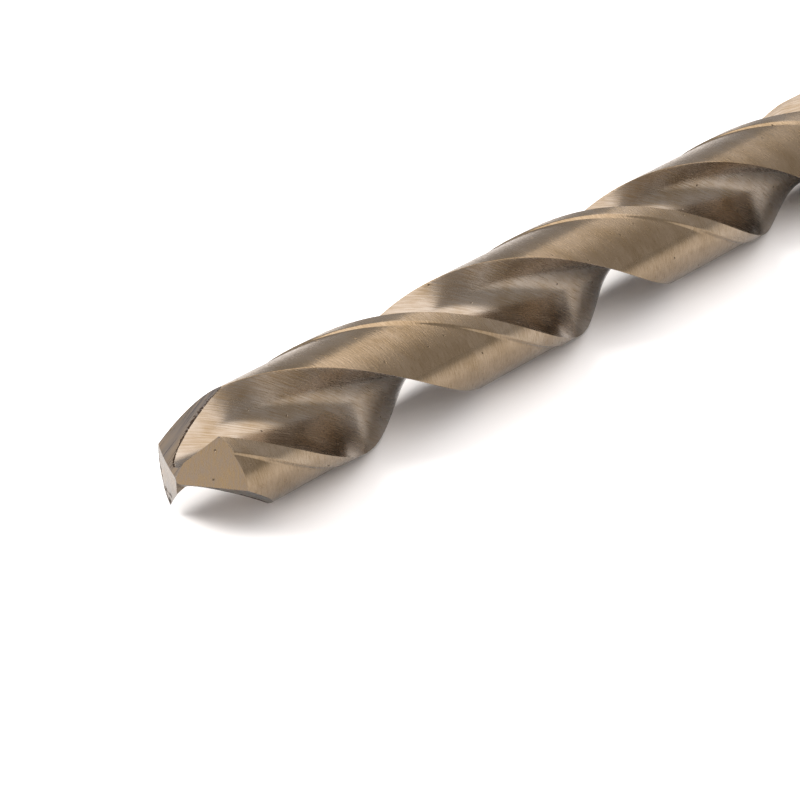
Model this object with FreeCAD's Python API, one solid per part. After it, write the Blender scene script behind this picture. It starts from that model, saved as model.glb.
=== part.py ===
import FreeCAD, Part
import cmath
import math
import os

# Driving dimensions of the whole drill, millimetres and degrees
drill_diameter = 10.0
overall_length = 133.0
flute_length = 87.0
shank_diameter = 9.8
shank_chamfer = 0.8
back_taper = 0.1
helix_angle = 30.8
lead_turn = 123.5

# Driving dimensions of the lands and flutes
web_thickness = 1.38
web_growth = 0.15
land_angle = 80.0
land_growth = 19.4
margin_width = 1.23
land_relief = 0.165
flute_floor_start = 0.76
flute_floor_radius = 2.14
heel_wall_radius = 60.0
wheel_radius = 32.0
relief_ramp = 8.0

# Driving dimensions of the ground point
point_angle = 135.0
lip_relief = 13.0
flank_radius = 18.5
gash_floor_depth = 0.41
gash_floor_tilt = 55.1
gash_floor_slope = -33.8
split_lip_angle = 22.6
split_lip_offset = 0.10

# Sizes that follow from those above, and clearances of the shapes that are cut away
flute_count = 2
radius = drill_diameter / 2
outside_radius = radius * 1.12
tool_span = radius * 1.4
heel_overlap = math.radians(8)
half_web = web_thickness / 2
twist = math.tan(math.radians(helix_angle)) / radius
lip_rise = 1 / math.tan(math.radians(point_angle / 2))
clear_of_drill = drill_diameter * 2
section_step = math.radians(30) / twist
rake_shares = [step / 8 for step in range(9)]


def body_radius(x):
    # the body thins very slightly towards the shank, so that it doesn't rub in the hole
    return radius - back_taper / 2 * x / flute_length


def unit(angle):
    # direction in the cross-section, an angle in radians about the axis
    return cmath.rect(1, angle)


def turn_at(x):
    # angle of a leading edge about the axis, which runs round as a right-hand screw
    return math.radians(lead_turn) + twist * x


def spot(x, across):
    # point at a distance along the axis and a complex position across it
    return FreeCAD.Vector(x, across.real, across.imag)


def flank_drop(behind):
    # depth of the round-ground flank at a distance behind its lip
    start = math.radians(lip_relief)
    tilt = math.asin(math.sin(start) + behind / flank_radius)
    return flank_radius * (math.cos(start) - math.cos(tilt))


def corner_reach(web_half):
    # distance along the lip from the foot of the web to the outer corner
    return math.sqrt(radius ** 2 - web_half ** 2)


def tip_height():
    # height of the chisel above the outer corners of the lips
    return corner_reach(half_web) * lip_rise - flank_drop(half_web)


def circles_meet(centre_a, radius_a, centre_b, radius_b, side):
    # crossing of two circles on the chosen side of the line of their centres
    gap = abs(centre_b - centre_a)
    along = (gap ** 2 + radius_a ** 2 - radius_b ** 2) / (2 * gap)
    aside = math.sqrt(radius_a ** 2 - along ** 2)
    return centre_a + (centre_b - centre_a) / gap * complex(along, side * aside)


def arc_edge(x, place, centre, start, end):
    # anticlockwise arc of the cross-section about a centre
    sweep = cmath.phase((end - centre) / (start - centre)) % (2 * math.pi)
    middle = centre + (start - centre) * unit(sweep / 2)
    return Part.Arc(*[spot(x, place(p)) for p in (start, middle, end)]).toShape()


def rake_point(along, web_half):
    # a point of the straight lip, turned back along the helix to one cross-section whose
    # outer corner is at angle zero
    swing = math.asin(web_half / radius) - math.atan2(web_half, along)
    swing += twist * (corner_reach(web_half) - along) * lip_rise
    return cmath.rect(math.hypot(along, web_half), swing)


def rake_heading(along, web_half):
    # direction in which the rake side runs towards the web at that point
    point = rake_point(along, web_half)
    reach = abs(point)
    swing_rate = web_half / reach ** 2 - twist * lip_rise
    heading = -complex(along / reach, reach * swing_rate) * point
    return heading / abs(heading)


def rake_places(web_half):
    # the rake side from outside the drill to where the rounded floor of the flute starts
    outer = math.sqrt(outside_radius ** 2 - web_half ** 2)
    return [rake_point(outer + (flute_floor_start - outer) * share, web_half)
            for share in rake_shares]


def heel_turn(x):
    # the land widens towards the shank, as the wheel is turned to cut a narrower flute
    return math.radians(land_angle + land_growth * max(x, 0) / flute_length)


def flute_wire(x, lift):
    # closed cross-section of the space of one flute, lifted off the axis by the wheel
    web_half = half_web + web_growth / 2 * max(x, 0) / flute_length
    heel_angle = heel_turn(x) - 2 * math.pi / flute_count
    outward = unit(heel_angle / 2) * lift

    def place(across):
        return (across + outward) * unit(turn_at(x))

    rake = rake_places(web_half)
    heading = rake_heading(flute_floor_start, web_half)
    heel = radius * unit(heel_angle)
    floor_centre = rake[-1] + flute_floor_radius * 1j * heading
    wall_centre = circles_meet(floor_centre, heel_wall_radius - flute_floor_radius,
                               heel, heel_wall_radius, 1)
    inward = (floor_centre - wall_centre) / abs(floor_centre - wall_centre)
    joint = wall_centre + inward * heel_wall_radius
    wall_end = circles_meet(0j, outside_radius, wall_centre, heel_wall_radius, -1)
    rake_curve = Part.BSplineCurve()
    rake_curve.interpolate(Points=[spot(x, place(p)) for p in rake], Parameters=rake_shares)
    return Part.Wire([
        rake_curve.toShape(),
        arc_edge(x, place, floor_centre, rake[-1], joint),
        arc_edge(x, place, wall_centre, joint, wall_end),
        arc_edge(x, place, 0j, wall_end, rake[0]),
    ])


def turned(outline):
    # solid of revolution about the axis, from places along it and their radii
    points = [FreeCAD.Vector(x, 0, z) for x, z in outline + outline[:1]]
    face = Part.Face(Part.makePolygon(points))
    return face.revolve(FreeCAD.Vector(), FreeCAD.Vector(1, 0, 0), 360)


def stations(start, end):
    # evenly spaced places along the axis, at most one section step apart
    count = math.ceil((end - start) / section_step)
    return [start + (end - start) * step / count for step in range(count + 1)]


def flute_cutter():
    # the grinding wheel follows the helix, deepening least near the shank, then lifts out
    start = -tip_height() - section_step
    end = flute_length - tip_height()
    lift_full = radius
    run_out = math.sqrt(2 * wheel_radius * lift_full - lift_full ** 2)
    wires = []
    for x in stations(start, end):
        past = max(x - (end - run_out), 0)
        lift = wheel_radius - math.sqrt(wheel_radius ** 2 - past ** 2)
        wires.append(flute_wire(x, lift))
    return Part.makeLoft(wires, True, False)


def relief_wire(x):
    # sector between the back of the margin and just past the heel
    first = unit(turn_at(x) + margin_width / radius)
    last = unit(turn_at(x) + heel_turn(x) + heel_overlap)
    inside = radius - 3 * land_relief

    def place(across):
        return across

    return Part.Wire([
        arc_edge(x, place, 0j, inside * first, inside * last),
        Part.makeLine(spot(x, inside * last), spot(x, outside_radius * last)),
        arc_edge(x, place, 0j, outside_radius * first, outside_radius * last),
        Part.makeLine(spot(x, outside_radius * first), spot(x, inside * first)),
    ])


def relief_cutter():
    # the land behind the margin is ground to a smaller round, which ramps out by the shank
    start = -tip_height() - section_step
    end = flute_length - tip_height()
    wires = [relief_wire(x) for x in stations(start, end)]
    ramp = end - relief_ramp
    outline = [
        (start, 0), (start, body_radius(start) - land_relief), (ramp, body_radius(ramp) - land_relief),
        (end, outside_radius), (end, 0),
    ]
    return Part.makeLoft(wires, True, False).cut(turned(outline))


def tip_spot(along, behind, x):
    # point in the frame of one lip: along it, behind it, and along the axis
    return spot(x, complex(along, behind) * unit(turn_at(0) + math.asin(half_web / radius)))


def flank_cutter():
    # everything in front of one lip's flank: a round profile carried along the lip
    reach = corner_reach(half_web)
    base = (-tool_span - reach) * lip_rise
    profile = [(side * tool_span, base + flank_drop(side * tool_span + half_web))
               for side in (-1, 0, 1)]
    curve = Part.Arc(*[tip_spot(-tool_span, behind, x) for behind, x in profile]).toShape()
    far = -clear_of_drill
    back = [tip_spot(-tool_span, side * tool_span, x)
            for side, x in ((1, profile[2][1]), (1, far), (-1, far), (-1, profile[0][1]))]
    face = Part.Face(Part.Wire([curve] + Part.makePolygon(back).Edges))
    return face.extrude(tip_spot(2 * tool_span, 0, 2 * tool_span * lip_rise))


def gash_cutter():
    # notch behind one flank that thins the web: a sloping floor, and an upright wall
    # whose top is the short inner lip of the other side
    floor_height = -tip_height() - gash_floor_depth
    tilt = math.tan(math.radians(gash_floor_tilt))
    slope = math.tan(math.radians(gash_floor_slope))
    corners = [(-1, -1), (1, -1), (1, 1), (-1, 1), (-1, -1)]
    floor = [tip_spot(a * tool_span, b * tool_span,
                      floor_height + tool_span * (a * slope + b * tilt))
             for a, b in corners]
    under_floor = Part.Face(Part.makePolygon(floor)).extrude(spot(-clear_of_drill, 0j))
    lean = unit(-math.radians(split_lip_angle))
    wall = []
    for a, b in ((-2, 0), (2, 0), (2, 2), (-2, 2), (-2, 0)):
        across = complex(a * tool_span, b * tool_span + split_lip_offset) * lean
        wall.append(tip_spot(across.real, across.imag, -clear_of_drill))
    beside_wall = Part.Face(Part.makePolygon(wall)).extrude(spot(2 * clear_of_drill, 0j))
    return under_floor.common(beside_wall)


def blank():
    # round bar with the drill's body, a slightly thinner shank and a chamfered end
    tip = -tip_height() - shank_chamfer
    body_end = flute_length - tip_height()
    shank_end = overall_length - tip_height()
    shank_radius = shank_diameter / 2
    outline = [
        (tip, 0), (tip, body_radius(tip)), (body_end, body_radius(body_end)), (body_end, shank_radius),
        (shank_end - shank_chamfer, shank_radius),
        (shank_end, shank_radius - shank_chamfer), (shank_end, 0),
    ]
    return turned(outline)


def drill():
    # the bar is fluted, relieved behind its margins, then pointed and split
    shape = blank()
    for cutter in (flute_cutter(), relief_cutter(), flank_cutter(), gash_cutter()):
        for side in range(flute_count):
            tool = cutter.copy()
            tool.rotate(FreeCAD.Vector(), FreeCAD.Vector(1, 0, 0), 360 / flute_count * side)
            shape = shape.cut(tool)
    return shape


def at_rest(shape):
    # lying on its margins, middle of its length over the origin
    tip = -tip_height()
    shape.translate(FreeCAD.Vector(-tip - overall_length / 2, 0, radius))
    return shape.Solids[0]


os.makedirs("parts", exist_ok=True)
at_rest(drill()).exportStep("parts/drill_bit.step")
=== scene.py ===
import bmesh
import bpy
import numpy as np
from mathutils import Matrix, Vector


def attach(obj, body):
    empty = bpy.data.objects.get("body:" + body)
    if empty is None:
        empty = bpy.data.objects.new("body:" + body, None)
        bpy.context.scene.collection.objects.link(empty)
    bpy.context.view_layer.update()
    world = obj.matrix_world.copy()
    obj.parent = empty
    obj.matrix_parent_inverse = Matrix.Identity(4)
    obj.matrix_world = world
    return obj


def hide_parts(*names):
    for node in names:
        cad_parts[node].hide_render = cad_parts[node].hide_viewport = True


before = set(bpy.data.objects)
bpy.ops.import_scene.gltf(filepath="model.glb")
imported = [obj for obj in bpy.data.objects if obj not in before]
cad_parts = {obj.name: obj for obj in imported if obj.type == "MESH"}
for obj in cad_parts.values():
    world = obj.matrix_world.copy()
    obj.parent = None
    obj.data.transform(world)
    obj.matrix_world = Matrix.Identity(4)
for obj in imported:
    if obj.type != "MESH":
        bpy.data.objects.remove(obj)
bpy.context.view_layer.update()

# The ground point
# The end of the steel bar that cuts. Behind each of the two straight lips the wheel has ground a
# round flank, and a gash that thins the web and leaves a short inner lip, so that the drill starts
# without walking. Sizes are millimetres, and x runs along the drill from the lips' outer corners.

DRILL_RADIUS = 5.0
HALF_WEB = 0.69
LEAD_TURN = np.radians(123.5)
POINT_ANGLE = np.radians(135)
LIP_RELIEF = np.radians(13.0)
FLANK_RADIUS = 18.5
GASH_DEPTH = 0.41
GASH_TILT = np.tan(np.radians(55.1))
GASH_SLOPE = np.tan(np.radians(-33.8))
SPLIT_TURN = np.radians(22.6)
SPLIT_OFFSET = 0.10

LIP_RISE = 1 / np.tan(POINT_ANGLE / 2)
LIP_REACH = np.sqrt(DRILL_RADIUS ** 2 - HALF_WEB ** 2)
LIP_TURN = np.arcsin(HALF_WEB / DRILL_RADIUS)


def unit(angle):
    """Direction in the cross-section: the complex number of length one at that angle."""
    return np.exp(1j * angle)


def flank_drop(behind):
    """Fall of the flank behind its lip: a circle of the flank radius that starts at the relief."""
    sine = np.sin(LIP_RELIEF) + behind / FLANK_RADIUS
    return FLANK_RADIUS * (np.cos(LIP_RELIEF) - np.sqrt(np.clip(1 - sine ** 2, 0, 1)))


# in the next four functions w is a place across the drill as seen from a lip: its real part runs
# along the lip, and its imaginary part runs behind it
def flank(w):
    """x of one flank at w: the lip's rise times the way out from its corner, plus the fall."""
    return (w.real - LIP_REACH) * LIP_RISE + flank_drop(w.imag + HALF_WEB)


def gash(w):
    """x of one gash floor at w: a plane that slopes along the lip and falls away behind it."""
    return -TIP_HEIGHT - GASH_DEPTH + GASH_SLOPE * w.real + GASH_TILT * w.imag


def past_split(w):
    """Whether w lies on the open side of the gash's upright wall, a line turned from the lip."""
    return (w * unit(SPLIT_TURN)).imag > SPLIT_OFFSET


def point_height(w, before_other):
    """x of the ground point: the largest of both flanks and of each gash floor beside its wall."""
    own = np.where(past_split(w), gash(w), -np.inf)
    other = np.where(before_other, gash(-w), -np.inf)
    return np.maximum(np.maximum(flank(w), flank(-w)), np.maximum(own, other))


TIP_HEIGHT = LIP_REACH * LIP_RISE - flank_drop(HALF_WEB)


# The fluted body
# The bar of high speed steel behind the point, in which a wheel has ground two flutes that run
# round as a right-hand screw. Each land between them keeps a narrow margin at full size along its
# leading edge and is ground slightly smaller behind it. The wheel lifts out before the shank.

FLUTE_LENGTH = 87.0
BACK_TAPER = 0.1
HELIX_ANGLE = np.radians(30.8)
HALF_WEB_GROWTH = 0.075
LAND_ANGLE = np.radians(80.0)
LAND_GROWTH = np.radians(19.4)
MARGIN_WIDTH = 1.23
MARGIN_STEP = 0.35
LAND_RELIEF = 0.165
RELIEF_RAMP = 8.0
HEEL_ROUND = 0.05
FLOOR_START = 0.76
FLOOR_RADIUS = 2.14
WALL_RADIUS = 60.0
WHEEL_RADIUS = 32.0
OUTSIDE_SHARE = 1.12

TWIST = np.tan(HELIX_ANGLE) / DRILL_RADIUS
OUTSIDE = DRILL_RADIUS * OUTSIDE_SHARE
RUN_OUT = np.sqrt(2 * WHEEL_RADIUS * DRILL_RADIUS - DRILL_RADIUS ** 2)
BODY_END = FLUTE_LENGTH - TIP_HEIGHT
LIFT_START = BODY_END - RUN_OUT

# cells round one half of the body: over the margin, its step, the land's front and back and the
# rounded heel, then down the heel wall to the foot of the flute and up its rake side
MARGIN_CELLS = 7
STEP_CELLS = 5
FRONT_CELLS = 24
BACK_CELLS = 25
ROUND_CELLS = 3
DEPTH_CELLS = 46
STEP_END = MARGIN_CELLS + STEP_CELLS
CREASE = STEP_END + FRONT_CELLS
LAND_END = CREASE + BACK_CELLS
HEEL = LAND_END + ROUND_CELLS
FOOT = HEEL + DEPTH_CELLS
NEXT_CORNER = FOOT + DEPTH_CELLS

# places along the body where its section is worked out, and points of each curve of the flute
FIRST_STATION = -3.0
FLUTE_STATIONS = 60
LIFT_STATIONS = 260
PROFILE_POINTS = 500

# the search for where a column comes out of the ground point, and for the column that starts on
# the crease between flank and gash
SCAN_START = -2.4
SCAN_PLACES = 571
HALVINGS = 30
CREASE_ROUNDS = 5
FIRST_CREASE_SHARE = 0.6

# rows of cells along the body: crowded near the point, then even, and finer as the wheel lifts
FIRST_ROWS = 44
FIRST_END = 9.0
ROW_STEP = 0.8
FINE_STEP = 0.3
EVEN_START = 84.1
EVEN_END = 85.0
END_ROWS = 8


def lead(x):
    """Angle of the first leading edge: its turn at the point plus twist per millimetre times x."""
    return LEAD_TURN + TWIST * x


def circles_meet(centre_a, radius_a, centre_b, radius_b, side):
    """Crossing of two circles: (gap^2 + a^2 - b^2) / 2 gap along the line of centres, then aside."""
    gap = np.abs(centre_b - centre_a)
    along = (gap ** 2 + radius_a ** 2 - radius_b ** 2) / (2 * gap)
    aside = np.sqrt(radius_a ** 2 - along ** 2)
    return centre_a + (centre_b - centre_a) / gap * (along + 1j * side * aside)


def arc(centre, start, end, share):
    """Anticlockwise arc: the start turned about the centre by a share of the angle to the end."""
    sweep = np.angle((end - centre) / (start - centre)) % (2 * np.pi)
    return centre + (start - centre) * unit(sweep * share)


def smooth(share):
    """Ease from 0 to 1 with level ends: 3 t^2 - 2 t^3."""
    share = np.clip(share, 0, 1)
    return share * share * (3 - 2 * share)


def flute_profile(x, lift):
    """Cross-section of a flute whose leading edge is at angle zero: the straight lip carried back
    along the screw, a round floor tangent to it and a nearly flat heel wall, moved out by lift."""
    x, lift = x[:, None], lift[:, None]
    share = np.linspace(0, 1, PROFILE_POINTS)[None]
    along_body = np.clip(x, 0, None) / FLUTE_LENGTH
    web = HALF_WEB + HALF_WEB_GROWTH * along_body
    reach = np.sqrt(DRILL_RADIUS ** 2 - web ** 2)
    heel_angle = LAND_ANGLE + LAND_GROWTH * along_body - np.pi
    outer = np.sqrt(OUTSIDE ** 2 - web ** 2)
    s = outer + (FLOOR_START - outer) * share
    swing = np.arcsin(web / DRILL_RADIUS) - np.arctan2(web, s) + TWIST * (reach - s) * LIP_RISE
    rake = np.hypot(s, web) * unit(swing)
    start = rake[:, -1:]
    distance = np.hypot(FLOOR_START, web)
    swing_rate = web / distance ** 2 - TWIST * LIP_RISE
    heading = -(FLOOR_START / distance + 1j * distance * swing_rate) * start
    floor_centre = start + FLOOR_RADIUS * 1j * heading / np.abs(heading)
    wall_centre = circles_meet(floor_centre, WALL_RADIUS - FLOOR_RADIUS,
                               DRILL_RADIUS * unit(heel_angle), WALL_RADIUS, 1)
    inward = (floor_centre - wall_centre) / np.abs(floor_centre - wall_centre)
    joint = wall_centre + inward * WALL_RADIUS
    end = circles_meet(0j, OUTSIDE, wall_centre, WALL_RADIUS, -1)
    floor = arc(floor_centre, start, joint, share[:, 1:])
    wall = arc(wall_centre, joint, end, share[:, 1:])
    return np.concatenate([rake, floor, wall], 1) + lift * unit(heel_angle / 2)


def body_radius(x):
    """The body thins by half the back taper over the length of the flutes."""
    return DRILL_RADIUS - BACK_TAPER / 2 * x / FLUTE_LENGTH


def relief_depth(x):
    """Depth of the ground land behind the margin: level, then a straight ramp out by the shank."""
    slope = (OUTSIDE - DRILL_RADIUS + BACK_TAPER / 2 + LAND_RELIEF) / RELIEF_RAMP
    ramped = LAND_RELIEF - np.clip((x - (BODY_END - RELIEF_RAMP)) * slope, 0, None)
    return np.clip(ramped, 0, None)


# how far the wheel has lifted at each station, and the flute's cross-section there
stations = np.concatenate([np.linspace(FIRST_STATION, LIFT_START, FLUTE_STATIONS)[:-1],
                           np.linspace(LIFT_START, BODY_END, LIFT_STATIONS)])
past = np.clip(stations - LIFT_START, 0, None)
profiles = flute_profile(stations, WHEEL_RADIUS - np.sqrt(WHEEL_RADIUS ** 2 - past ** 2))

# depth levels from the outside to the foot, close together at the foot; on the rake side one of
# them is moved to where the upright wall of the split ends on the lip
depth = np.linspace(1, 0, DEPTH_CELLS + 1)
web_foot = np.abs(profiles[0]).min()
split_reach = (HALF_WEB * np.cos(SPLIT_TURN) - SPLIT_OFFSET) / np.sin(SPLIT_TURN)
split_depth = np.sqrt((np.hypot(split_reach, HALF_WEB) - web_foot) / (body_radius(0) - web_foot))
rake_depth = depth.copy()
rake_depth[np.abs(depth - split_depth).argmin()] = split_depth


def columns(profile, top, relief, crease_share):
    """Places of one half's columns in one cross-section, from the corner over the land and down
    the heel wall to the foot of the flute, then up the rake side to the next corner."""
    distance, angle = np.abs(profile), np.angle(profile)
    foot = distance.argmin()
    low = min(distance[foot], top)
    land_top = top - relief
    rake_levels = low + (top - low) * rake_depth ** 2
    wall_top = max(land_top - HEEL_ROUND, low)
    wall_levels = low + (wall_top - low) * depth ** 2
    rake = rake_levels * unit(np.interp(rake_levels, distance[foot::-1], angle[foot::-1]))
    wall = -wall_levels * unit(np.interp(wall_levels, distance[foot:], angle[foot:]))
    heel_angle = np.interp(land_top, distance[foot:], angle[foot:]) + np.pi
    first = np.angle(rake[0])
    step = MARGIN_WIDTH / DRILL_RADIUS
    margin = top * unit(first + (step - first) * np.arange(MARGIN_CELLS) / MARGIN_CELLS)
    share = np.arange(STEP_CELLS) / STEP_CELLS
    edge = (top - relief * smooth(share)) * unit(step + MARGIN_STEP / DRILL_RADIUS * share)
    after = step + MARGIN_STEP / DRILL_RADIUS
    last = heel_angle - HEEL_ROUND / DRILL_RADIUS
    crease = after + (last - after) * crease_share
    front = land_top * unit(after + (crease - after) * np.arange(FRONT_CELLS) / FRONT_CELLS)
    back = land_top * unit(crease + (last - crease) * np.arange(BACK_CELLS) / BACK_CELLS)
    share = np.arange(ROUND_CELLS) / ROUND_CELLS
    rounding = ((1 - share) ** 2 * land_top * unit(last)
                + 2 * share * (1 - share) * land_top * unit(heel_angle) + share ** 2 * wall[0])
    return np.concatenate([margin, edge, front, back, rounding, wall, -rake[-2::-1]])


def worked_out(crease_share):
    """Unwrapped angle and radius of every column at every station."""
    sections = zip(profiles, body_radius(stations), relief_depth(stations))
    places = np.array([columns(*section, crease_share) for section in sections])
    return np.unwrap(np.angle(places), axis=1), np.abs(places)


def followed(table, x):
    """A value of each column at any x along the body, straight between the stations."""
    kept = [np.interp(x[:, k], stations, table[:, k]) for k in range(table.shape[1])]
    return np.stack(kept, 1)


def above_point(x):
    """How far a column's place at x lies behind the ground point, and the place seen from the lip."""
    w = followed(reaches, x) * unit(followed(turns, x) + TWIST * x - LIP_TURN)
    return x - point_height(w, past_split(-w)), w


def column_starts():
    """Where each column comes out of the ground point: its last crossing, then halved intervals."""
    scan = np.linspace(SCAN_START, FIRST_END, SCAN_PLACES)[:, None] + np.zeros(NEXT_CORNER + 1)
    behind, _ = above_point(scan)
    last = scan.shape[0] - 1 - (behind[::-1] < 0).argmax(0)
    low, high = scan[last, 0][None], scan[last + 1, 0][None]
    for _ in range(HALVINGS):
        middle = (low + high) / 2
        outside = above_point(middle)[0] < 0
        low, high = np.where(outside, middle, low), np.where(outside, high, middle)
    return high[0]


# the crease between flank and gash is moved until one column of the land starts on it
crease_share = FIRST_CREASE_SHARE
land_columns = np.arange(STEP_END, LAND_END + 1)
for _ in range(CREASE_ROUNDS):
    turns, reaches = worked_out(crease_share)
    starts = column_starts()
    _, w = above_point(starts[None])
    shares = np.interp(land_columns, [STEP_END, CREASE, LAND_END], [0, crease_share, 1])
    crease_share = np.interp(0, (gash(w) - flank(w))[0, land_columns], shares)
turns, reaches = worked_out(crease_share)
starts = column_starts()

flute_rows = np.arange(FIRST_END + ROW_STEP, LIFT_START, ROW_STEP)
fine_rows = np.arange(LIFT_START, EVEN_START, FINE_STEP)
end_rows = np.linspace(EVEN_START, BODY_END, END_ROWS)
rows = np.concatenate([flute_rows, fine_rows, end_rows])
first_x = starts + (FIRST_END - starts) * np.linspace(0, 1, FIRST_ROWS)[:, None]
body_x = np.concatenate([first_x, rows[:, None] + np.zeros_like(starts)])
body_turn = followed(turns, body_x)
body_reach = followed(reaches, body_x)

# where nothing is left of the flutes, the columns spread out evenly
even = smooth((body_x - EVEN_START) / (EVEN_END - EVEN_START))
body_turn += even * (np.linspace(0, np.pi, NEXT_CORNER + 1) - body_turn)
body = body_reach * unit(body_turn + lead(body_x))

# girth: the way round the cross-section from its leading corner
section = reaches * unit(turns)
between = np.cumsum(np.abs(np.diff(section, axis=1)), 1)
girth = followed(np.concatenate([np.zeros_like(between[:, :1]), between], 1), body_x)


# The faces of the point
# Ground last, across the end of the fluted bar, in the same steel. Each half has a strip of the
# other half's gash, that gash's upright wall, one flank and its own gash. They are set out in
# levels from the outer edge in to the axis, each from the lip's side round to the heel's side.

INNER_LEVELS = 14
SETTLE_LEVELS = 8
WALL_ROUNDS = 3
CREASE_CLEAR = 0.02
SAME_TURN = 1e-6

levels = np.arange(DEPTH_CELLS + 1)
start_reach = np.abs(body[0])
start_turn = body_turn[0] + TWIST * starts - LIP_TURN
inner_reach = start_reach[FOOT] * np.linspace(1, 0, INNER_LEVELS + 1)[1:]
inner_turn = np.full(INNER_LEVELS, start_turn[FOOT])
left_reach = np.append(start_reach[NEXT_CORNER - levels], inner_reach)
left_turn = np.append(start_turn[NEXT_CORNER - levels], inner_turn) - np.pi
right_reach = np.append(start_reach[HEEL + levels], inner_reach)
right_turn = np.append(start_turn[HEEL + levels], inner_turn)


def on_level(turn):
    """Place at an angle of each level: the radius goes evenly from the lip's side to the heel's."""
    share = (turn - left_turn) / (right_turn - left_turn)
    return (left_reach + (right_reach - left_reach) * share) * unit(turn)


def clear_of_floor(turn):
    """Whether the flank still stands above the gash floor at an angle of each level."""
    w = on_level(turn)
    return gash(w) < flank(w)


# the upright wall of the other gash crosses each level at one angle, its own crease at another
wall_turn = left_turn.copy()
for _ in range(WALL_ROUNDS):
    aside = SPLIT_OFFSET / np.maximum(np.abs(on_level(wall_turn)), 2 * SPLIT_OFFSET)
    wall_turn = np.maximum(-SPLIT_TURN - np.arcsin(aside), left_turn)
low, high = wall_turn, right_turn
for _ in range(HALVINGS):
    middle = (low + high) / 2
    clear = clear_of_floor(middle)
    low, high = np.where(clear, middle, low), np.where(clear, high, middle)

# inside the last level that the crease crosses, its angle stays the same
crease_turn = low
crossed = np.nonzero(low < right_turn - CREASE_CLEAR)[0].max()
crease_turn[crossed + 1:] = crease_turn[crossed]

# the columns of the land go over to even spacing within a few levels of the edge
settled = smooth(np.arange(len(left_turn)) / SETTLE_LEVELS)[:, None]
front_start, crease_start, back_end = start_turn[1], start_turn[CREASE], start_turn[HEEL]
front = (start_turn[1:CREASE + 1] - front_start) / (crease_start - front_start)
back = (start_turn[CREASE + 1:HEEL + 1] - crease_start) / (back_end - crease_start)
front = front + settled * (np.linspace(0, 1, len(front)) - front)
back = back + settled * (np.linspace(0, 1, len(back) + 1)[1:] - back)
cap_turn = np.concatenate([
    left_turn[:, None], wall_turn[:, None],
    wall_turn[:, None] + (crease_turn - wall_turn)[:, None] * front,
    crease_turn[:, None] + (right_turn - crease_turn)[:, None] * back], 1)
cap = on_level(cap_turn.T).T

# the second column stands at the foot of the other gash's upright wall, the third at its top
cap_x = point_height(cap, past_split(-cap))
at_lip = wall_turn <= left_turn + SAME_TURN
cap_x[:, 1] = point_height(cap[:, 1], np.abs(cap[:, 1]) > SPLIT_OFFSET)
cap_x[:, 2] = point_height(cap[:, 2], False)
cap_x[levels, 0] = starts[NEXT_CORNER - levels]
cap_x[at_lip, 1] = cap_x[at_lip, 0]
cap_x[levels, -1] = starts[HEEL + levels]

# the outermost level is the body's own first row
seen = np.array([0, 1, *range(1, HEEL + 1)])
cap[0], cap_x[0] = body[0, seen] * unit(-LEAD_TURN - LIP_TURN), starts[seen]


# The shank
# The plain end of the bar that the chuck holds. It is turned a touch thinner than the body and
# has a small chamfer round its flat end.

OVERALL_LENGTH = 133.0
SHANK_RADIUS = 4.9
SHANK_CHAMFER = 0.8
SHANK_ROWS = 24

# its rings: the body's last, the plain length from the step down, then the chamfer's end and the
# middle of the flat end
shank_end = OVERALL_LENGTH - TIP_HEIGHT
plain_x = np.linspace(BODY_END, shank_end - SHANK_CHAMFER, SHANK_ROWS)
ring_x = np.concatenate([[BODY_END], plain_x, [shank_end, shank_end]])
ring_reach = np.append(np.full(SHANK_ROWS, SHANK_RADIUS), [SHANK_RADIUS - SHANK_CHAMFER, 0])
shank = np.concatenate([body[-1:], ring_reach[:, None] * unit(np.angle(body[-1]))])
shank_x = ring_x[:, None] + np.zeros(NEXT_CORNER + 1)
shank_girth = np.linspace(0, np.pi, NEXT_CORNER + 1) * SHANK_RADIUS + 0 * shank_x


# The skin
# The whole drill is one piece of steel, so its faces are one closed skin of quads. The body, the
# point and the shank each give two grids, half a turn apart, and all their edges are sewn. The
# worn edges, chips and burnt stains of a used drill, and two patches of painted shade in the
# flutes, are kept in the skin as strengths.

MM = 0.001
SEW = 2e-7
SHARP_ANGLE = np.radians(25)
MIDDLE = OVERALL_LENGTH / 2 - TIP_HEIGHT
CHART_APART = 40.0

# the finishes in the order in which the skin holds them
LAND, FLUTE, BARE_FACE, GASH, SHANK, STRAW_FACE, MARGIN = range(7)

# chips along one flank's outer edge and the inner lip, and dark marks on the body: stains of burnt
# cutting oil, and two patches of painted shade that stand for a dark reflection, one in each flute
# at the same place as seen; place in the chart, reach in millimetres and strength; a mark is half
# as strong at its reach, and gone at the mark's end, in reaches
CHIPS = ((44.1, 2.0, 0.22, 1.9), (44.3, 1.55, 0.18, 1.7), (44.35, 0.45, 0.24, 1.9),
         (43.5, -0.25, 0.2, 1.8), (44.4, -0.45, 0.3, 1.9), (43.9, 0.0, 0.15, 1.6),
         (40.2, -0.3, 0.16, 1.7), (40.5, -0.55, 0.2, 1.8))
STAINS_AND_PAINTED_SHADE = ((2.1, 1.6, 0.5, 0.6), (0.4, 1.0, 0.6, 0.35), (1.1, 3.3, 0.5, 0.4),
          # the first two marks on the next line are painted shade, one in each flute; the others are
          # stains of burnt cutting oil
          (48.9, 5.9, 0.8, 0.5), (8.8, 31.0, 0.9, 0.55), (55.7, 16.6, 0.25, 0.9))
MARK_END = 1.5

# how far the ragged edges reach in: columns of the point, levels of the sound web, and the wear
# of the first levels behind the flank's outer edge
RAGGED_COLUMNS = 10
SOUND_LEVELS = 12
INNER_WEAR = (0.7, 0.4)

patches = []


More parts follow.
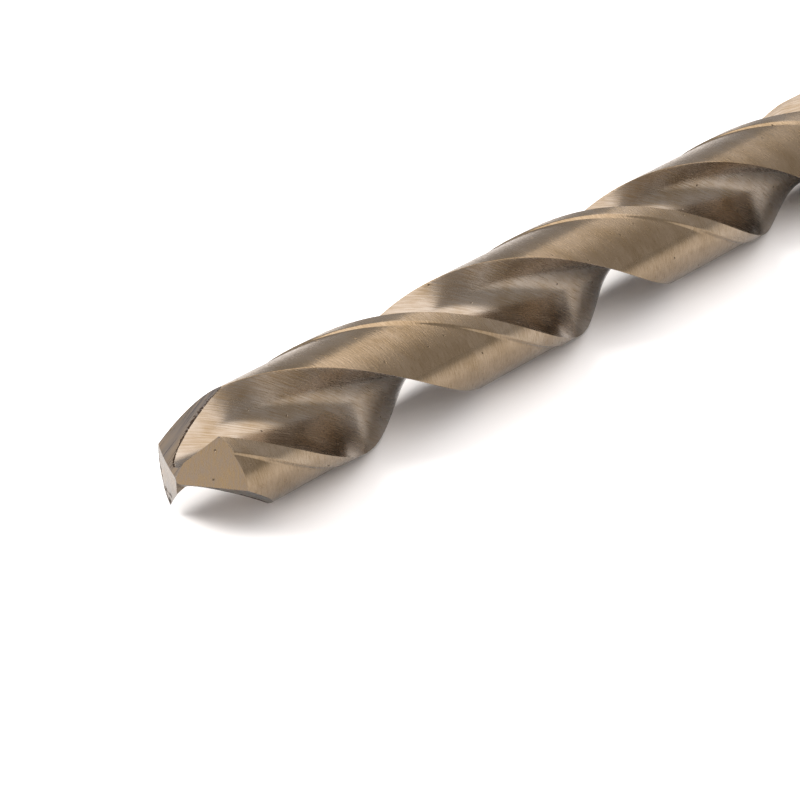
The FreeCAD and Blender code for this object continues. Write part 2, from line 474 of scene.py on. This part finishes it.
def add_patch(x, across, u, v, finish, worn, marks, outwards):
    """One grid of quads for each half, from places along and across the drill and their chart in
    millimetres; finish and worn have one entry for each half, and the second half is the first
    turned by half a turn. A mark's strength eases off with the distance over its reach."""
    for half in (0, 1):
        z = across * (1 - 2 * half)
        places = np.stack([x - MIDDLE, z.real, z.imag + DRILL_RADIUS], -1).reshape(-1, 3) * MM
        width = x.shape[1]
        corner = (np.arange(x.shape[0] - 1)[:, None] * width + np.arange(width - 1)).ravel()
        quads = corner[:, None] + np.array([0, 1, width + 1, width])
        if not outwards:
            quads = quads[:, ::-1]
        chart = np.stack([u + half * CHART_APART, v], -1).reshape(-1, 2)
        cells = np.broadcast_to(finish[half], (x.shape[0] - 1, width - 1)).ravel()
        wear = np.broadcast_to(worn[half], x.shape).ravel()
        stain_and_shade = np.zeros(x.size)
        for mark_u, mark_v, reach, strength in marks:
            away = np.hypot(chart[:, 0] - mark_u, chart[:, 1] - mark_v) / reach
            stain_and_shade = np.maximum(stain_and_shade, strength * smooth(MARK_END - away))
        patches.append((places, quads, chart[quads.ravel()], cells, wear, stain_and_shade))


# the edge of each gash on the flute is ragged, and so is the outer edge of one flank
worn_edges = np.zeros((2, NEXT_CORNER + 1))
worn_edges[:, HEEL:FOOT - SOUND_LEVELS] = 1
worn_edges[1, 1:CREASE] = 1
body_worn = np.zeros((2, *body_x.shape))
body_worn[:, 0] = worn_edges
cap_worn = np.zeros((2, *cap.shape))
cap_worn[:, 0] = worn_edges[:, seen]
cap_worn[:, levels, -1] = worn_edges[:, HEEL + levels]
for inset in range(1, RAGGED_COLUMNS):
    fading = 1 - inset / RAGGED_COLUMNS
    cap_worn[:, levels[1:], -1 - inset] = cap_worn[:, levels[1:], -1] * fading
for level, worn_there in enumerate(INNER_WEAR, 1):
    cap_worn[1, level, 1:CREASE] = worn_there

round_body = np.arange(NEXT_CORNER)
body_finish = np.where(round_body < HEEL, LAND, FLUTE)
body_finish[round_body < MARGIN_CELLS] = MARGIN
round_cap = np.arange(cap.shape[1] - 1)
on_gash = (round_cap < 1) | (round_cap > CREASE)
cap_finish = [np.where(on_gash, GASH, face) for face in (STRAW_FACE, BARE_FACE)]
cap_across = cap * unit(LEAD_TURN + LIP_TURN)

add_patch(body_x, body, girth, body_x, (body_finish, body_finish), body_worn, STAINS_AND_PAINTED_SHADE, True)
add_patch(cap_x, cap_across, cap.real, cap.imag, cap_finish, cap_worn, CHIPS, False)
add_patch(shank_x, shank, shank_girth, shank_x, (SHANK, SHANK), (0, 0), (), True)

places, quads, chart, finishes, wear, stain_and_shade = zip(*patches)
offsets = np.cumsum([0] + [len(grid) for grid in places[:-1]])
quads = np.concatenate([grid + offset for grid, offset in zip(quads, offsets)])

skin = bpy.data.meshes.new("twist_drill")
skin.vertices.add(offsets[-1] + len(places[-1]))
skin.vertices.foreach_set("co", np.concatenate(places).ravel())
skin.loops.add(quads.size)
skin.loops.foreach_set("vertex_index", quads.ravel())
skin.polygons.add(len(quads))
skin.polygons.foreach_set("loop_start", np.arange(0, quads.size, 4))
skin.polygons.foreach_set("material_index", np.concatenate(finishes).astype(np.int32))
skin.polygons.foreach_set("use_smooth", np.ones(len(quads), bool))
skin.uv_layers.new(name="chart").data.foreach_set("uv", np.concatenate(chart).ravel())
skin.attributes.new("wear", "FLOAT", "POINT").data.foreach_set("value", np.concatenate(wear))
skin.attributes.new("stain_and_shade", "FLOAT", "POINT").data.foreach_set("value", np.concatenate(stain_and_shade))
skin.update(calc_edges=True)
sewing = bmesh.new()
sewing.from_mesh(skin)
bmesh.ops.remove_doubles(sewing, verts=sewing.verts, dist=SEW)
bmesh.ops.recalc_face_normals(sewing, faces=sewing.faces)
sewing.to_mesh(skin)
sewing.free()
skin.set_sharp_from_angle(angle=SHARP_ANGLE)
drill_bit = bpy.data.objects.new("twist_drill", skin)
bpy.context.collection.objects.link(drill_bit)
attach(drill_bit, "root")
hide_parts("drill_bit")


# The steel's finishes
# Cobalt high speed steel, ground all over and then tempered, which leaves a thin straw bronze
# oxide on the lands, in the flutes and on one flank. The other flank, the gashes and the shank
# are a greyer, bare metal. Everywhere the wheel has left fine lines, which pull highlights out.

STRAW_LAND = "#A89278"
STRAW_FLUTE = "#A99B8C"
STRAW_DARK = "#8C7558"
STRAW_MARGIN = "#AE9A83"
STRAW_FLANK = "#827262"
BARE_FLANK = "#857E78"
BARE_GASH = "#6F6761"
BARE_SHANK = "#A59A91"
# dark oxide of pits, broken edges and stains, also the colour of the painted shade in the flutes
BURNT_AND_SHADE = "#2E241C"

# clouds of temper colour about 3 mm across; pits of about 0.1 mm in some cells of a 2.5 mm grid;
# both scales are for the chart in millimetres
CLOUD_SCALE = 0.35
PIT_SCALE = 0.4
PIT_CHOICE = 0.6

# the broken edges have a grain of about 0.15 mm, as a scale for places in metres
RAGGED_SCALE = 6500
MARK_DEPTH = 6.0
ROUGHNESS_BELOW = 0.05
ROUGHNESS_ABOVE = 0.07


def colour(code):
    """Linear colour of an sRGB hex code: c / 12.92 when dark, else ((c + 0.055) / 1.055) ^ 2.4."""
    steps = np.array([int(code[k:k + 2], 16) for k in (1, 3, 5)]) / 255
    return (*np.where(steps <= 0.04045, steps / 12.92, ((steps + 0.055) / 1.055) ** 2.4), 1)


def add(tree, kind, settings=(), links=()):
    """Adds a node: settings name its own properties or sockets, links name its sockets' sources.
    A number is a socket's place; a colour mix has its factor at 0 and its colours at 6 and 7."""
    node = tree.nodes.new(kind)
    for name, value in dict(settings).items():
        if isinstance(name, int) or name in node.inputs:
            node.inputs[name].default_value = value
        else:
            setattr(node, name, value)
    for name, source in dict(links).items():
        tree.links.new(source, node.inputs[name])
    return node


def ground_steel(name, base, dark, roughness, grain, line_turn, line_spacing, line_length, depth,
                 side=1):
    """A ground metal: fine lines across the chart at an angle in radians, over slow clouds of
    temper colour. Pits, burnt stains, patches of painted shade and ragged edges go over to a dark
    oxide colour that doesn't mirror, by the largest of their shares. Side is -1 where the chart is
    seen from behind."""
    material = bpy.data.materials.new(name)
    material.use_nodes = True
    tree = material.node_tree
    tree.nodes.clear()
    chart_uv = add(tree, "ShaderNodeUVMap", {"uv_map": "chart"}).outputs[0]

    # the wheel's lines: noise squeezed to the spacing one way and drawn out to the length
    lines = add(tree, "ShaderNodeMapping",
                {"vector_type": "TEXTURE", "Rotation": (0, 0, line_turn),
                 "Scale": (line_spacing, line_length, 1)},
                {"Vector": chart_uv})
    scratch = add(tree, "ShaderNodeTexNoise",
                  {"noise_dimensions": "2D", "Scale": 1.0, "Detail": 2.0, "Roughness": 0.7},
                  {"Vector": lines.outputs[0]})
    streak = add(tree, "ShaderNodeMapRange",
                 {"From Min": 0.35, "From Max": 0.65, "To Min": 0.0, "To Max": grain},
                 {"Value": scratch.outputs[0]})

    # clouds of temper colour
    clouds = add(tree, "ShaderNodeTexNoise",
                 {"noise_dimensions": "2D", "Scale": CLOUD_SCALE, "Detail": 3.0},
                 {"Vector": chart_uv})
    cloud = add(tree, "ShaderNodeMapRange",
                {"From Min": 0.35, "From Max": 0.7, "To Min": 0.0, "To Max": 0.5},
                {"Value": clouds.outputs[0]})
    both = add(tree, "ShaderNodeMath", {"operation": "ADD"},
               {0: cloud.outputs[0], 1: streak.outputs[0]})
    tint = add(tree, "ShaderNodeMix",
               {"data_type": "RGBA", 6: colour(base), 7: colour(dark)}, {0: both.outputs[0]})

    # pits: the middles of the cells whose random colour is light enough
    cells = add(tree, "ShaderNodeTexVoronoi",
                {"voronoi_dimensions": "2D", "Scale": PIT_SCALE}, {"Vector": chart_uv})
    chosen = add(tree, "ShaderNodeMath",
                 {"operation": "GREATER_THAN", 1: PIT_CHOICE}, {0: cells.outputs["Color"]})
    near = add(tree, "ShaderNodeMapRange",
               {"interpolation_type": "SMOOTHSTEP",
                "From Min": 0.01, "From Max": 0.045, "To Min": 0.7, "To Max": 0.0},
               {"Value": cells.outputs["Distance"]})
    pit = add(tree, "ShaderNodeMath", {"operation": "MULTIPLY"},
              {0: near.outputs[0], 1: chosen.outputs[0]})

    # ragged edges, and stains with the painted shade patches of the flutes, both broken up by the
    # same grain
    worn = add(tree, "ShaderNodeAttribute", {"attribute_name": "wear"}).outputs["Fac"]
    stain_and_shade = add(tree, "ShaderNodeAttribute", {"attribute_name": "stain_and_shade"}).outputs["Fac"]
    place = add(tree, "ShaderNodeTexCoord").outputs["Object"]
    ragged = add(tree, "ShaderNodeTexNoise",
                 {"Scale": RAGGED_SCALE, "Detail": 1.0}, {"Vector": place})
    uneven = add(tree, "ShaderNodeMath",
                 {"operation": "MULTIPLY_ADD", 1: 3.0, 2: -0.5}, {0: ragged.outputs[0]})
    eaten = add(tree, "ShaderNodeMath", {"operation": "MULTIPLY"},
                {0: worn, 1: uneven.outputs[0]})
    edge = add(tree, "ShaderNodeMapRange",
               {"From Min": 0.5, "From Max": 0.7}, {"Value": eaten.outputs[0]})
    # the stain strength also holds the painted shade patches in the flutes, which this darkens like
    # the stains
    blotch_and_shade = add(tree, "ShaderNodeMath", {"operation": "MULTIPLY"},
                 {0: stain_and_shade, 1: ragged.outputs[0]})
    marks = add(tree, "ShaderNodeMath", {"operation": "MAXIMUM"},
                {0: pit.outputs[0], 1: edge.outputs[0]})
    burnt_and_shaded = add(tree, "ShaderNodeMath", {"operation": "MAXIMUM", "use_clamp": True},
                {0: marks.outputs[0], 1: blotch_and_shade.outputs[0]})
    tinted = add(tree, "ShaderNodeMix", {"data_type": "RGBA", 7: colour(BURNT_AND_SHADE)},
                 {0: burnt_and_shaded.outputs[0], 6: tint.outputs[2]})
    metal = add(tree, "ShaderNodeMath", {"operation": "SUBTRACT", 0: 1.0},
                {1: burnt_and_shaded.outputs[0]})

    # the lines' relief, in which pits and broken edges are sunk, and their roughness
    height = add(tree, "ShaderNodeMath", {"operation": "MULTIPLY_ADD", 1: -MARK_DEPTH},
                 {0: marks.outputs[0], 2: scratch.outputs[0]})
    bump = add(tree, "ShaderNodeBump",
               {"Strength": 1.0, "Distance": depth * MM}, {"Height": height.outputs[0]})
    rough = add(tree, "ShaderNodeMapRange",
                {"From Min": 0.3, "From Max": 0.7,
                 "To Min": roughness - ROUGHNESS_BELOW, "To Max": roughness + ROUGHNESS_ABOVE},
                {"Value": scratch.outputs[0]})
    tangent = add(tree, "ShaderNodeTangent", {"direction_type": "UV_MAP", "uv_map": "chart"})
    shader = add(tree, "ShaderNodeBsdfPrincipled",
                 {"Specular IOR Level": 0.0, "Anisotropic": 0.8,
                  "Anisotropic Rotation": side * line_turn / (2 * np.pi)},
                 {"Base Color": tinted.outputs[2], "Metallic": metal.outputs[0],
                  "Roughness": rough.outputs[0], "Normal": bump.outputs[0],
                  "Tangent": tangent.outputs[0]})
    add(tree, "ShaderNodeOutputMaterial", {}, {"Surface": shader.outputs[0]})
    return material


# The wheel's own scratches are some hundredths of a millimetre apart, too fine to show. They are
# drawn 0.1 to 0.25 mm apart, and the relief's depth, in millimetres too, goes with that.

# lands, ground round and tempered: a warm bronze that mirrors softly, with lines at a slant
skin.materials.append(ground_steel(
    "straw_land", STRAW_LAND, STRAW_DARK, roughness=0.21, grain=0.5,
    line_turn=np.radians(-78), line_spacing=0.13, line_length=0.9, depth=0.014))

# flutes, ground along the screw and tempered: greyer than the lands, with long faint lines
skin.materials.append(ground_steel(
    "straw_flute", STRAW_FLUTE, STRAW_DARK, roughness=0.23, grain=0.4,
    line_turn=np.radians(-35), line_spacing=0.10, line_length=2.5, depth=0.006))

# the bare flank, ground last: a dark grey metal with a trace of bronze, dull beside the flute
skin.materials.append(ground_steel(
    "bare_flank", BARE_FLANK, STRAW_LAND, roughness=0.25, grain=0.3,
    line_turn=0.8, line_spacing=0.15, line_length=0.8, depth=0.008, side=-1))

# gashes, cut with the wheel's corner: the darkest and most even face of the point
skin.materials.append(ground_steel(
    "bare_gash", BARE_GASH, STRAW_DARK, roughness=0.3, grain=0.3,
    line_turn=0.9, line_spacing=0.2, line_length=3.0, depth=0.003, side=-1))

# shank, ground between centres: a pale satin metal with fine rings round it
skin.materials.append(ground_steel(
    "bare_shank", BARE_SHANK, STRAW_LAND, roughness=0.3, grain=0.3,
    line_turn=np.pi / 2, line_spacing=0.25, line_length=6.0, depth=0.004))

# the tempered flank: brown and a little duller than the lands, with short strong lines
skin.materials.append(ground_steel(
    "straw_flank", STRAW_FLANK, STRAW_DARK, roughness=0.25, grain=0.6,
    line_turn=0.8, line_spacing=0.15, line_length=0.8, depth=0.012, side=-1))

# margins, ground round at full size: the palest bronze, rubbed a little brighter in the hole
skin.materials.append(ground_steel(
    "straw_margin", STRAW_MARGIN, STRAW_DARK, roughness=0.24, grain=0.4,
    line_turn=np.radians(-78), line_spacing=0.15, line_length=0.9, depth=0.01))


# Table, light and camera
# The drill lies on a white table in a studio. A large soft box hangs over the front, the room
# behind is dim with a white strip low down, and a smaller soft light stands to the left.

FLOOR_HALF = 2.0
FLOOR_WHITE = "#F2EEEA"
FLOOR_NEAR = "#DEDEDE"
# the far colour is painted shade: the mirrored floor darkens towards the front as light falls off
FLOOR_FAR_SHADE = "#8A8A8A"
FLOOR_FALLS_FROM = -0.004
FLOOR_FALLS_TO = -0.045
FRONT_DIM = (0.54, 0.54, 0.56, 1)
BACK_DIM = (0.50, 0.53, 0.60, 1)
BACK_WHITE = (1.4, 1.4, 1.4, 1)
SOFT_BOX = (2.2, 2.2, 2.25, 1)
KEY_PLACE = Vector((-0.55, 0.55, 0.6))
KEY_SIZE = 0.5
KEY_POWER = 12.0

# the soft box fills a window of directions; each corner is its lean from overhead, in degrees
# along the drill and across it, and a direction is inside where it is inside every edge
BOX_CORNERS = ((43, 19), (-25, 28), (-45, -55), (4, -66))
BOX_SOFTNESS = 0.05

# how far back a direction points where the room turns from front to back and where the white
# strip starts, and how far up it points where the strip ends
BACK_TURNS = {"From Min": -0.2, "From Max": 0.4}
STRIP_STARTS = {"From Min": 0.0, "From Max": 0.3}
STRIP_ENDS = {"From Min": 0.0, "From Max": 0.1, "To Min": 1.0, "To Max": 0.0}

# the camera's place in metres, the way it looks and its lens in millimetres
CAMERA_PLACE = Vector((-0.18722, -0.13173, 0.11437))
CAMERA_ELEVATION = np.radians(29.883)
CAMERA_HEADING = np.radians(42.167)
CAMERA_ROLL = np.radians(0.5863)
CAMERA_LENS = 126.32
CAMERA_SENSOR = 36
CAMERA_NEAR = 0.01
CAMERA_FAR = 10

floor_mesh = bpy.data.meshes.new("floor")
corners = [(x * FLOOR_HALF, y * FLOOR_HALF, 0) for x, y in ((-1, -1), (1, -1), (1, 1), (-1, 1))]
floor_mesh.from_pydata(corners, [], [(0, 1, 2, 3)])
floor = bpy.data.objects.new("floor", floor_mesh)
bpy.context.collection.objects.link(floor)

# matt white laminate: even and near white to the camera, while what the steel mirrors of it is
# greyer, with painted shade that darkens it towards the front, as a table does away from its light
laminate = bpy.data.materials.new("white_table")
laminate.use_nodes = True
tree = laminate.node_tree
tree.nodes.clear()
rays = add(tree, "ShaderNodeLightPath").outputs
place = add(tree, "ShaderNodeTexCoord").outputs["Object"]
parts = add(tree, "ShaderNodeSeparateXYZ", {}, {0: place}).outputs
painted_falloff = add(tree, "ShaderNodeMapRange",
              {"From Min": FLOOR_FALLS_FROM, "From Max": FLOOR_FALLS_TO}, {"Value": parts["Y"]})
mirrored = add(tree, "ShaderNodeMix",
               {"data_type": "RGBA", 6: colour(FLOOR_NEAR), 7: colour(FLOOR_FAR_SHADE)},
               {0: painted_falloff.outputs[0]})
white = add(tree, "ShaderNodeMix", {"data_type": "RGBA", 7: colour(FLOOR_WHITE)},
            {0: rays["Is Camera Ray"], 6: mirrored.outputs[2]})
matt = add(tree, "ShaderNodeBsdfDiffuse", {}, {"Color": white.outputs[2]})
add(tree, "ShaderNodeOutputMaterial", {}, {"Surface": matt.outputs[0]})
floor_mesh.materials.append(laminate)


def leaning(degrees):
    """Direction that leans from overhead by the length of the pair, towards the way it points."""
    lean = np.radians(np.hypot(*degrees))
    way = np.arctan2(degrees[1], degrees[0])
    return Vector((np.sin(lean) * np.cos(way), np.sin(lean) * np.sin(way), np.cos(lean)))


world = bpy.data.worlds.new("studio")
bpy.context.scene.world = world
world.use_nodes = True
tree = world.node_tree
tree.nodes.clear()
direction = add(tree, "ShaderNodeTexCoord").outputs["Generated"]
parts = add(tree, "ShaderNodeSeparateXYZ", {}, {0: direction}).outputs
window = None
for start, end in zip(BOX_CORNERS, BOX_CORNERS[1:] + BOX_CORNERS[:1]):
    inwards = leaning(start).cross(leaning(end)).normalized()
    within = add(tree, "ShaderNodeVectorMath",
                 {"operation": "DOT_PRODUCT", 1: inwards}, {0: direction})
    inside = add(tree, "ShaderNodeMapRange",
                 {"interpolation_type": "SMOOTHSTEP",
                  "From Min": -BOX_SOFTNESS, "From Max": BOX_SOFTNESS},
                 {"Value": within.outputs["Value"]}).outputs[0]
    if window is not None:
        inside = add(tree, "ShaderNodeMath", {"operation": "MULTIPLY"},
                     {0: window, 1: inside}).outputs[0]
    window = inside
behind = add(tree, "ShaderNodeMapRange",
             {"interpolation_type": "SMOOTHSTEP", **BACK_TURNS}, {"Value": parts["Y"]})
far_side = add(tree, "ShaderNodeMapRange",
               {"interpolation_type": "SMOOTHSTEP", **STRIP_STARTS}, {"Value": parts["Y"]})
low_down = add(tree, "ShaderNodeMapRange",
               {"interpolation_type": "SMOOTHSTEP", **STRIP_ENDS}, {"Value": parts["Z"]})
strip = add(tree, "ShaderNodeMath", {"operation": "MULTIPLY"},
            {0: far_side.outputs[0], 1: low_down.outputs[0]})
room = add(tree, "ShaderNodeMix", {"data_type": "RGBA", 6: FRONT_DIM, 7: BACK_DIM},
           {0: behind.outputs[0]})
room = add(tree, "ShaderNodeMix", {"data_type": "RGBA", 7: BACK_WHITE},
           {0: strip.outputs[0], 6: room.outputs[2]})
room = add(tree, "ShaderNodeMix", {"data_type": "RGBA", 7: SOFT_BOX},
           {0: window, 6: room.outputs[2]})
light = add(tree, "ShaderNodeBackground", {"Strength": 1.0}, {"Color": room.outputs[2]})
add(tree, "ShaderNodeOutputWorld", {}, {"Surface": light.outputs[0]})

key = bpy.data.lights.new("key", "AREA")
key.shape = "SQUARE"
key.size = KEY_SIZE
key.energy = KEY_POWER
key_light = bpy.data.objects.new("key", key)
bpy.context.collection.objects.link(key_light)
key_light.location = KEY_PLACE
key_light.rotation_euler = KEY_PLACE.to_track_quat("Z", "Y").to_euler()
bpy.context.scene.view_settings.view_transform = "Standard"

lens = bpy.data.cameras.new("camera")
lens.sensor_width = CAMERA_SENSOR
lens.lens = CAMERA_LENS
lens.clip_start = CAMERA_NEAR
lens.clip_end = CAMERA_FAR
camera = bpy.data.objects.new("camera", lens)
bpy.context.collection.objects.link(camera)
level = np.cos(CAMERA_ELEVATION)
forward = np.array([level * np.cos(CAMERA_HEADING), level * np.sin(CAMERA_HEADING),
                    -np.sin(CAMERA_ELEVATION)])
right = np.array([np.sin(CAMERA_HEADING), -np.cos(CAMERA_HEADING), 0])
up = np.cross(right, forward)
rolled_right = right * np.cos(CAMERA_ROLL) + up * np.sin(CAMERA_ROLL)
rolled_up = up * np.cos(CAMERA_ROLL) - right * np.sin(CAMERA_ROLL)
axes = Matrix([rolled_right, rolled_up, -forward]).transposed().to_4x4()
camera.matrix_world = Matrix.Translation(CAMERA_PLACE) @ axes
bpy.context.scene.camera = camera
